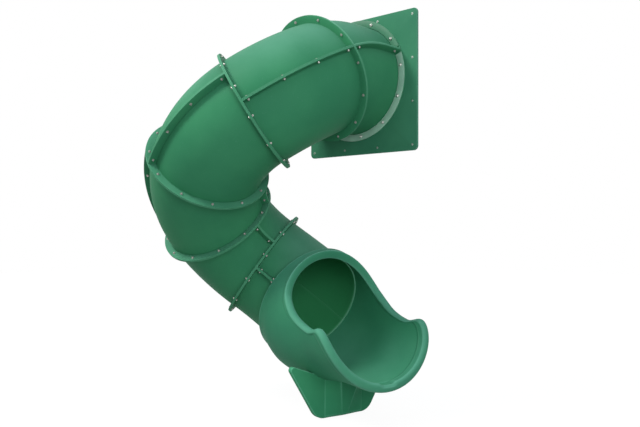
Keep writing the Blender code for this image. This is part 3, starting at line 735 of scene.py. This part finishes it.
ring_paints = {
    "upper": painted("ring_paint_green", (0.040, 0.185, 0.100), (0.08, 0.22, 0.14), 0.55),
    "lower": painted("ring_paint_pale", (0.310, 0.520, 0.390), (0.36, 0.42, 0.38), 0.42),
}
ring_low = shell_wall + ring_clearance
ring_high = ring_low + ring_thickness
ring_inner = tube_radius + shell_wall + ring_inset
end_turn = (shell_wall + ring_end_gap) / ring_inner
for label, seam in (("upper", entry_seam), ("lower", entry_seam + pi)):
    turn = np.linspace(seam + end_turn, seam + pi - end_turn, ring_steps)
    wide = [(flange_radius, ring_low), (flange_radius, ring_high)]
    edges = [(ring_inner, ring_low), *wide, (ring_inner, ring_high)]
    grid = np.array([ring(start @ ahead(level), turn, radius) for radius, level in edges])
    faces = grid_quads(4, ring_steps, True, False).tolist()
    faces.append([k * ring_steps for k in (3, 2, 1, 0)])
    faces.append([k * ring_steps + ring_steps - 1 for k in range(4)])
    nodes = ["mount_ring_" + label]
    strip = put_down("clamp_ring_" + label, grid, faces, ring_paints[label], nodes)
    round_edges(strip, ring_edge_round, 2)
    apply_modifiers(strip)


# Mounting bolts.
# Twelve bolts of zinc-plated steel through the panel, the flange and the ring.
# Each has a flat head let into the panel's back, and a pale dome nut on a washer in front.

dome_washer_radius = 0.0098
dome_washer_thickness = 0.0013
collar_radius = 0.0088
collar_foot = 0.0010
collar_top = 0.0050
dome_radius = 0.0068
dome_foot = 0.0045
dome_rise = 0.0045
flat_head_radius = 0.0085
flat_head_height = 0.0046
mount_shank_radius = 0.0038
mount_shank_start = 0.004
mount_shank_end = 0.003


def dome_bolt():
    """A washer, a hexagon collar and a dome on the ring, and a flat hexagon head let into the panel."""
    seat = ring_high + gap
    washer = disc(dome_washer_radius, seat, seat + dome_washer_thickness, 24)
    collar = hexagonal(collar_radius, seat + collar_foot, seat + collar_top)
    foot = seat + dome_foot
    arc = [(dome_radius * cos(a), foot + dome_rise * sin(a)) for a in np.linspace(0, pi / 2, 6)]
    dome = turned([(0, foot)] + arc, 20)
    flat = hexagonal(flat_head_radius, 0.0, flat_head_height)
    head = upside_down(flat, flat_head_height - panel_thickness)
    shank = disc(mount_shank_radius, mount_shank_start - panel_thickness, seat + mount_shank_end, 12)
    return gather([washer, collar, dome, head, shank])


pale_zinc = zinc_finish("dome_nut_zinc", (0.66, 0.68, 0.64), 0.36)
points, faces = copies(dome_bolt(), bolt_ring(start, entry_seam))
nodes = ["mount_bolt_%02d" % k for k in range(1, bolts_per_ring + 1)]
clean(put_down("dome_nut_bolts", points, faces, pale_zinc, nodes))


# Exit scoop.
# One hollow moulding with a double wall and a round rim. Its collar slides over the tube's end,
# the hood closes it on top, and the trough opens to a wide lip.

scoop_inside = 0.3134
scoop_wall = 0.040
scoop_bend = 0.475
scoop_lift = radians(3.0)
scoop_flare = 0.027
flare_start = 0.305
rim_round = 0.016
rim_bead = 0.0035
rim_bead_width = 0.024
rim_bead_fade = 0.016
rim_probe = 0.01
drain_depth = 0.009
drain_width = 0.075
drain_side = 0.03
drain_start = 0.022
drain_fade = 0.030
drain_reach = 1.6
belly = 0.028
belly_start = 0.090
belly_end = 0.100
belly_out = 0.500
lip_reach = 0.667
scoop_columns = 256
inner_rows = 64
row_crowding = 1.6
collar_rows = (-0.034, -0.020)
collar_outer_round = 0.018
collar_inner_round = 0.004
inner_skin_rows = 60
inner_glow_share = 0.25
rim_steps = 15
collar_outer_steps = 7
collar_inner_steps = 4
scoop_hard_angle = 60.0
# scoop_edge_size gives the scoop's rim and the foot's rib a stronger painted highlight.
scoop_edge_size = 0.0060
# The rim from the hood's top to the lip's middle. Each knot has its share of the way, its angle
# from the top in degrees, and its reach along the centre line.
rim_knots = np.array([
    (0.00, 0.0, 0.106), (0.23, 53.0, 0.184), (0.38, 84.0, 0.305), (0.50, 97.0, 0.452),
    (0.62, 96.5, 0.560), (0.72, 111.0, 0.617), (0.84, 140.0, 0.653), (1.00, 180.0, lip_reach),
])

# The scoop's own X looks down from the tube's end, so that angles count from the top.
heading = tube_end[:3, 2]
below = np.array([0.0, 0.0, -1.0]) - heading * -heading[2]
below = tube_end[:3, :3].T @ (below / np.linalg.norm(below))
level_roll = roll(np.arctan2(below[1], below[0]))
full_turn = scoop_lift - np.arcsin(heading[2])


def scoop_point(reach, turn, radius):
    """A point of the scoop, from its way along the centre line, its angle from the top and its radius.

    The line follows the tube's bend in the collar, then an arc up to nearly level, then runs straight.
    """
    reach, turn, radius = np.broadcast_arrays(reach, turn, radius)
    socket = reach < 0
    bent = np.where(socket, 0, np.minimum(reach / scoop_bend, full_turn))
    straight = np.where(socket, 0, reach - bent * scoop_bend)
    back = np.where(socket, reach / bend_radius, 0)
    x, y = -np.cos(turn) * radius, -np.sin(turn) * radius
    after = tube_end @ level_roll
    arc = np.stack([
        np.cos(bent) * (x + scoop_bend) - scoop_bend - np.sin(bent) * straight,
        y,
        np.sin(bent) * (x + scoop_bend) + np.cos(bent) * straight,
    ], axis=-1) @ after[:3, :3].T + after[:3, 3]
    u = level_roll[0, 0] * x + level_roll[0, 1] * y
    v = level_roll[1, 0] * x + level_roll[1, 1] * y
    collar = np.stack([
        np.cos(back) * (u + bend_radius) - bend_radius,
        v,
        np.sin(back) * (u + bend_radius),
    ], axis=-1) @ tube_end[:3, :3].T + tube_end[:3, 3]
    return np.where(socket[..., None], collar, arc)


def ease(share):
    """0 to 1 with level ends."""
    share = np.clip(share, 0, 1)
    return share * share * (3 - 2 * share)


def rim_curve(share):
    """The rim's angle and reach: a cubic through its knots, mirrored for the other side.

    The slope at a knot is that of the line between its neighbours.
    """
    size = np.abs(share)
    place = np.clip(np.searchsorted(rim_knots[:, 0], size, side="right") - 1, 0, len(rim_knots) - 2)
    a, b = rim_knots[place], rim_knots[place + 1]
    slopes = np.zeros((len(rim_knots), 2))
    slopes[1:-1] = (rim_knots[2:, 1:] - rim_knots[:-2, 1:]) / (rim_knots[2:, :1] - rim_knots[:-2, :1])
    slopes[0, 0] = rim_knots[1, 1] / rim_knots[1, 0]
    slopes[-1, 0] = (rim_knots[-1, 1] - rim_knots[-2, 1]) / (rim_knots[-1, 0] - rim_knots[-2, 0])
    length = b[:, :1] - a[:, :1]
    t = (size[:, None] - a[:, :1]) / length
    value = a[:, 1:] * (1 + 2 * t) * (1 - t) ** 2 + b[:, 1:] * t * t * (3 - 2 * t)
    value += slopes[place] * length * t * (1 - t) ** 2 - slopes[place + 1] * length * t * t * (1 - t)
    return np.sign(share) * np.radians(value[:, 0]), value[:, 1]


def rim_inside(share, depth):
    """The rim's line, moved into the material by this depth, square to the rim."""
    size = np.abs(share)
    low = rim_curve(np.maximum(size - rim_probe, 0.0))
    high = rim_curve(np.minimum(size + rim_probe, 1.0))
    around_rim = (high[0] - low[0]) * (tube_radius + shell_wall)
    along_rim = high[1] - low[1]
    length = np.hypot(around_rim, along_rim)
    turn, reach = rim_curve(size)
    turn = turn + depth * along_rim / length / (tube_radius + shell_wall)
    return np.sign(share) * turn, reach - depth * around_rim / length


def scoop_row(share, part, depth, out):
    """One ring of the scoop's skin.

    part runs from 0 at the tube's end to 1 at the rim, and out from 0 on the inner wall to 1 on the
    outer. The radius is the inside, plus the flare, the rim's bead and the lip's drain, plus the wall
    and its hanging belly times out.
    """
    rim_turn, rim_reach = rim_inside(share, depth)
    turn = pi * share + (rim_turn - pi * share) * part
    reach = rim_reach * part
    radius = scoop_inside + scoop_flare * ease((reach - flare_start) / (lip_reach - flare_start))
    to_rim = (1 - part) * np.hypot(rim_reach, (rim_turn - pi * share) * (scoop_inside + scoop_wall))
    radius = radius + rim_bead * (1 - ease((to_rim - rim_bead_width) / rim_bead_fade)) * (out - 0.5) * 2
    hang = ease(reach / belly_start) * (1 - ease((reach - belly_end) / (belly_out - belly_end)))
    hang = belly * hang * ((1 - np.cos(turn)) / 2) ** 2
    off_middle = pi - np.abs(turn)
    drain = drain_depth * ease((drain_width / 2 / scoop_inside - off_middle) / drain_side + 1)
    drain = drain * (1 - ease((to_rim - drain_start) / drain_fade)) * (1 - ease(out * drain_reach))
    return scoop_point(reach, turn, radius + drain + (scoop_wall + hang) * out)


def scoop_skin():
    """The whole skin as one closed grid: inner wall, rim, outer wall back, and the collar's end."""
    share = np.linspace(-1, 1, scoop_columns + 1)[:-1]
    whole = pi * share
    rows = [scoop_point(np.full_like(share, s), whole, scoop_inside) for s in collar_rows]
    parts = 1 - (1 - np.linspace(0, 1, inner_rows)) ** row_crowding
    rows += [scoop_row(share, p, rim_round, 0.0) for p in parts]
    for turn in np.linspace(0, pi, rim_steps)[1:-1]:
        rows.append(scoop_row(share, 1.0, rim_round * (1 - sin(turn)), (1 - cos(turn)) / 2))
    rows += [scoop_row(share, p, rim_round, 1.0) for p in parts[::-1]]
    for turn in np.linspace(0, pi / 2, collar_outer_steps):
        reach = -socket_depth + collar_outer_round * (1 - sin(turn))
        radius = scoop_inside + scoop_wall - collar_outer_round * (1 - cos(turn))
        rows.append(scoop_point(np.full_like(share, reach), whole, radius))
    for turn in np.linspace(0, pi / 2, collar_inner_steps):
        reach = -socket_depth + collar_inner_round * (1 - cos(turn))
        radius = scoop_inside + collar_inner_round * (1 - sin(turn))
        rows.append(scoop_point(np.full_like(share, reach), whole, radius))
    return np.array(rows)


scoop_green = plastic("scoop_green", (0.050, 0.262, 0.138), (0.125, 0.350, 0.270), 400.0, 0.60)
skin = scoop_skin()
quads = grid_quads(*skin.shape[:2], True, True)
scoop = put_down("moulded_scoop", skin, quads, scoop_green, ["exit_scoop"])
# The scoop's inner wall gets a quarter of the plastic's painted glow.
inner_skin = np.zeros(skin.shape[:2])
inner_skin[:inner_skin_rows] = inner_glow_share
store(scoop, "inside", inner_skin)
clean(scoop)
shade(scoop, scoop_hard_angle)
mark_edges(scoop, scoop_edge_size)


# Collar screws.
# Three short pan-head screws of zinc-plated steel, each on a washer.
# They come from below and hold the collar on the tube's end.

collar_screw_turns = (-20.0, 0.0, 20.0)
collar_screw_radius = 0.0070
collar_screw_height = 0.0034
collar_screw_length = 0.040
collar_screw_lift = 0.01

screw_zinc = zinc_finish("foot_screw_zinc", (0.58, 0.58, 0.56), 0.36)
places = []
for turn in collar_screw_turns:
    wall_radii = np.array([scoop_inside, scoop_inside + scoop_wall])
    inner, outer = scoop_point(-socket_depth / 2, pi + radians(turn), wall_radii)
    places.append(facing(outer + (outer - inner) * collar_screw_lift, outer - inner, heading))
points, faces = copies(pan_screw(collar_screw_radius, collar_screw_height, collar_screw_length), places)
nodes = ["collar_screw_%d" % k for k in (1, 2, 3)]
clean(put_down("collar_screws", points, faces, screw_zinc, nodes))


# Exit foot.
# A splayed moulded foot under the scoop: a broad upright web with a tapering rib on its front.
# It stands on the ground and carries the scoop's belly in its saddle.

ground = -1.902
foot_reach = 0.297
foot_thickness = 0.030
foot_base = 0.360
foot_tip = 0.756
foot_tip_height = 0.316
foot_shoulder = 0.400
foot_shoulder_height = 0.250
foot_saddle = 0.300
foot_corner = 0.090
foot_tip_round = 0.018
foot_edge_round = 0.005
foot_corner_steps = 12
foot_tip_steps = 6
saddle_steps = 25
rib_width = 0.260
rib_top_front = 0.134
rib_base_front = 0.028
rib_top_depth = 0.067
rib_base_depth = 0.010
rib_skirt = 0.006
rib_top_gap = 0.002
rib_shoulder = 0.03
rib_sunk = 0.004
rib_base_round = 0.012
rib_base_inset = 0.008
rib_rows = 25
rib_columns = 81

line_end = scoop_point(np.array([lip_reach - 0.1, lip_reach]), 0.0, 0.0)
exit_way = (line_end[1] - line_end[0]) * (1, 1, 0)
exit_way /= np.linalg.norm(exit_way)
foot_place = np.eye(4)
foot_place[:3, :3] = np.column_stack([np.cross((0, 0, 1), exit_way), (0, 0, 1), exit_way])
foot_place[:3, 3] = (*(tube_end[:2, 3] + exit_way[:2] * foot_reach), ground)
axis_height = scoop_point(np.array([foot_reach]), 0.0, 0.0)[0, 2] - ground
hang_here = belly * (1 - ease((foot_reach - belly_end) / (belly_out - belly_end)))
saddle_radius = scoop_inside + (scoop_wall + hang_here) / 2


def fillet(before, corner, after, radius, steps):
    """The arc that rounds one corner of an outline, from tangent point to tangent point."""
    before, corner, after = (np.array(p, float) for p in (before, corner, after))
    one = (before - corner) / np.linalg.norm(before - corner)
    two = (after - corner) / np.linalg.norm(after - corner)
    half_angle = np.arccos(np.clip(one @ two, -1, 1)) / 2
    middle = corner + (one + two) / np.linalg.norm(one + two) * radius / sin(half_angle)
    first = corner + one * radius / tan(half_angle) - middle
    last = corner + two * radius / tan(half_angle) - middle
    angle = np.arccos(np.clip(first @ last / radius**2, -1, 1))
    share = np.linspace(0, 1, steps)[:, None]
    return middle + (first * np.sin((1 - share) * angle) + last * np.sin(share * angle)) / sin(angle)


def foot_outline():
    """The foot from ahead: round base corners, splayed sides, sloping wings and the belly's saddle."""
    base, tip = foot_base / 2, foot_tip / 2
    shoulder, saddle = foot_shoulder / 2, foot_saddle / 2
    bottom, right, left = (0, 0), (base, 0), (-base, 0)
    right_tip, left_tip = (tip, foot_tip_height), (-tip, foot_tip_height)
    right_shoulder, left_shoulder = (shoulder, foot_shoulder_height), (-shoulder, foot_shoulder_height)
    across = np.linspace(saddle, -saddle, saddle_steps)
    arc = np.column_stack([across, axis_height - np.sqrt(saddle_radius**2 - across**2)])
    return np.concatenate([
        fillet(bottom, right, right_tip, foot_corner, foot_corner_steps),
        fillet(right, right_tip, right_shoulder, foot_tip_round, foot_tip_steps),
        [right_shoulder],
        arc,
        [left_shoulder],
        fillet(left_shoulder, left_tip, left, foot_tip_round, foot_tip_steps),
        fillet(left_tip, left, bottom, foot_corner, foot_corner_steps),
    ])


def foot_rib():
    """The rib's front: its depth at a height, times a plateau that falls off to both sides.

    Height runs from the ground to the saddle. The plateau is 1 across the rib's flat front and 0 at
    its sides, and the front is rounded off at the ground.
    """
    top = axis_height - saddle_radius - rib_top_gap
    height = np.linspace(0.0, 1.0, rib_rows)[:, None]
    across = np.linspace(-1.0, 1.0, rib_columns)[None, :]
    x = across * (rib_width / 2 + rib_skirt)
    front = (rib_base_front + (rib_top_front - rib_base_front) * height) / 2
    depth = rib_base_depth + (rib_top_depth - rib_base_depth) * height
    side = np.clip((np.abs(x) - front) / (rib_width / 2 - front), 0, 1.2)
    fall = np.where(side < rib_shoulder, side**2 / (2 * rib_shoulder), side - rib_shoulder / 2)
    z = np.where(side >= 1.0, -rib_sunk, depth * (1 - fall))
    x, y = np.broadcast_arrays(x, height * top)
    rounded = np.clip(y / rib_base_round, 0, 1)
    z = z - rib_base_inset * (1 - np.sqrt(1 - (1 - rounded) ** 2)) * (z > 0)
    face = np.stack([x, y, z], axis=-1)
    back = face.copy()
    back[..., 2] = -foot_thickness / 2
    return np.concatenate([face, back[::-1]])


outline = foot_outline()
count = len(outline)
front_rim = np.column_stack([outline, np.zeros(count)])
back_rim = np.column_stack([outline, np.full(count, -foot_thickness)])
points = np.concatenate([front_rim, back_rim]) @ foot_place[:3, :3].T + foot_place[:3, 3]
faces = [list(range(count)), list(range(2 * count - 1, count - 1, -1))]
faces += [[k, k + count, (k + 1) % count + count, (k + 1) % count] for k in range(count)]
# The foot's green is lighter than the slide's: painted light, for the light that falls on it near the
# ground.
foot_lit_green = plastic("foot_lit_green", (0.052, 0.310, 0.146), (0.080, 0.320, 0.190), 400.0, 0.62)
web = put_down("foot_web", points, faces, foot_lit_green, ["exit_foot"])
round_edges(web, foot_edge_round, 4, 60.0)
apply_modifiers(web)
grid = foot_rib()
points = grid @ foot_place[:3, :3].T + foot_place[:3, 3]
rows, columns = grid.shape[:2]
faces = grid_quads(rows, columns, True, False).tolist()
left_side = [k * columns for k in range(rows)]
faces += [left_side[::-1], [k + columns - 1 for k in left_side]]
rib = clean(put_down("foot_rib", points, faces, foot_lit_green))
mark_edges(rib, scoop_edge_size)


# Foot screws.
# Two long pan-head screws of zinc-plated steel, each on a washer.
# They are let into the foot's underside and tie it to the scoop.

foot_screw_side = 0.080
foot_screw_rise = 0.0065
foot_screw_radius = 0.0060
foot_screw_height = 0.0036
foot_screw_length = 0.200

places = []
for side in (-1, 1):
    local = np.array([side * foot_screw_side, foot_screw_rise, -foot_thickness / 2, 1.0])
    places.append(facing((foot_place @ local)[:3], (0, 0, -1), exit_way))
points, faces = copies(pan_screw(foot_screw_radius, foot_screw_height, foot_screw_length), places)
clean(put_down("foot_screws", points, faces, screw_zinc, ["foot_screw_1", "foot_screw_2"]))


# Floor, light and camera.
# A plain white floor that keeps the shadow, a pale sky, and two broad soft lamps.
# The camera stands at the photograph's angle.

floor_reach = 14.0
floor_grey = (0.30, 0.30, 0.30, 1.0)
floor_white = 0.74
floor_glow = 1.28
sky_tint = (0.84, 0.92, 1.0, 1.0)
sky_low = 0.32
sky_rise = 0.42
sky_behind = 0.22
slide_middle = (-0.2, -0.5, -0.7)
camera_place = (2.6768, -3.3199, -0.8746)
camera_yaw = radians(41.805)
camera_pitch = radians(1.311)
camera_roll = radians(0.178)
camera_lens = 40.753


def add_light(name, place, size, power, colour):
    """A square soft light that looks at the slide's middle."""
    lamp = bpy.data.lights.new(name, "AREA")
    lamp.size = size
    lamp.energy = power
    lamp.color = colour
    holder = bpy.data.objects.new(name, lamp)
    bpy.context.scene.collection.objects.link(holder)
    away = Vector(place) - Vector(slide_middle)
    holder.matrix_world = Matrix.Translation(place) @ away.to_track_quat("Z", "Y").to_matrix().to_4x4()


def seen_directly(anchor):
    """1 for rays from the camera, and for those that a gloss or a glass sends on."""
    camera_ray, glossy_ray, through_ray = [
        anchor.node("ShaderNodeLightPath", {}, {}, "Is %s Ray" % kind)
        for kind in ("Camera", "Glossy", "Transmission")
    ]
    return anchor.math("MAXIMUM", anchor.math("MAXIMUM", camera_ray, glossy_ray), through_ray)


floor_mesh = bpy.data.meshes.new("studio_floor")
corners = [(x * floor_reach, y * floor_reach, ground) for x, y in ((-1, -1), (1, -1), (1, 1), (-1, 1))]
floor_mesh.from_pydata(corners, [], [(0, 1, 2, 3)])
floor = bpy.data.objects.new("studio_floor", floor_mesh)
bpy.context.scene.collection.objects.link(floor)
floor_finish, floor_shader, floor_place = new_finish("studio_white", 0.9)
floor_shader.inputs["Base Color"].default_value = floor_grey
white = floor_place.node("ShaderNodeEmission", {}, {"Color": (1, 1, 1, 1), "Strength": floor_glow})
lit = Socket(floor_finish.node_tree, floor_shader.outputs[0])
whitened = seen_directly(floor_place) * floor_white
mixed = floor_place.node("ShaderNodeMixShader", {}, {0: whitened, 1: lit, 2: white})
output = floor_finish.node_tree.nodes["Material Output"]
floor_finish.node_tree.links.new(mixed.output, output.inputs["Surface"])
floor_mesh.materials.append(floor_finish)

world = bpy.data.worlds.new("studio")
world.use_nodes = True
bpy.context.scene.world = world
sky = Socket(world.node_tree, None)
direct = seen_directly(sky)
tint = direct.blend(sky_tint, (1.0, 1.0, 1.0, 1.0))
ray = sky.node("ShaderNodeTexCoord", {}, {}, "Generated")
behind = ray.along("Y").between(-0.2, 0.8)
overhead = (ray.along("Z").between(-0.2, 1.0) * sky_rise + sky_low) * (1.0 - behind * sky_behind)
strength = direct + overhead * (1.0 - direct)
backdrop = world.node_tree.nodes["Background"]
world.node_tree.links.new(tint.output, backdrop.inputs["Color"])
world.node_tree.links.new(strength.output, backdrop.inputs["Strength"])

add_light("soft_key", (-1.6, -3.9, 3.5), 1.5, 232.0, (1.0, 0.99, 0.95))
add_light("soft_front", (3.6, -3.0, -0.1), 2.2, 88.0, (0.92, 0.97, 1.0))

view = bpy.data.cameras.new("photo_camera")
view.sensor_width = 36.0
view.sensor_fit = "HORIZONTAL"
view.lens = camera_lens
camera = bpy.data.objects.new("photo_camera", view)
bpy.context.scene.collection.objects.link(camera)
level = cos(camera_pitch)
forward = Vector((-sin(camera_yaw) * level, cos(camera_yaw) * level, sin(camera_pitch)))
right = Vector((cos(camera_yaw), sin(camera_yaw), 0.0))
axes = Matrix((right, right.cross(forward), -forward)).transposed().to_4x4()
camera.matrix_world = Matrix.Translation(camera_place) @ axes @ Matrix.Rotation(camera_roll, 4, "Z")
bpy.context.scene.camera = camera
bpy.context.scene.view_settings.view_transform = "Standard"

bpy.context.view_layer.update()
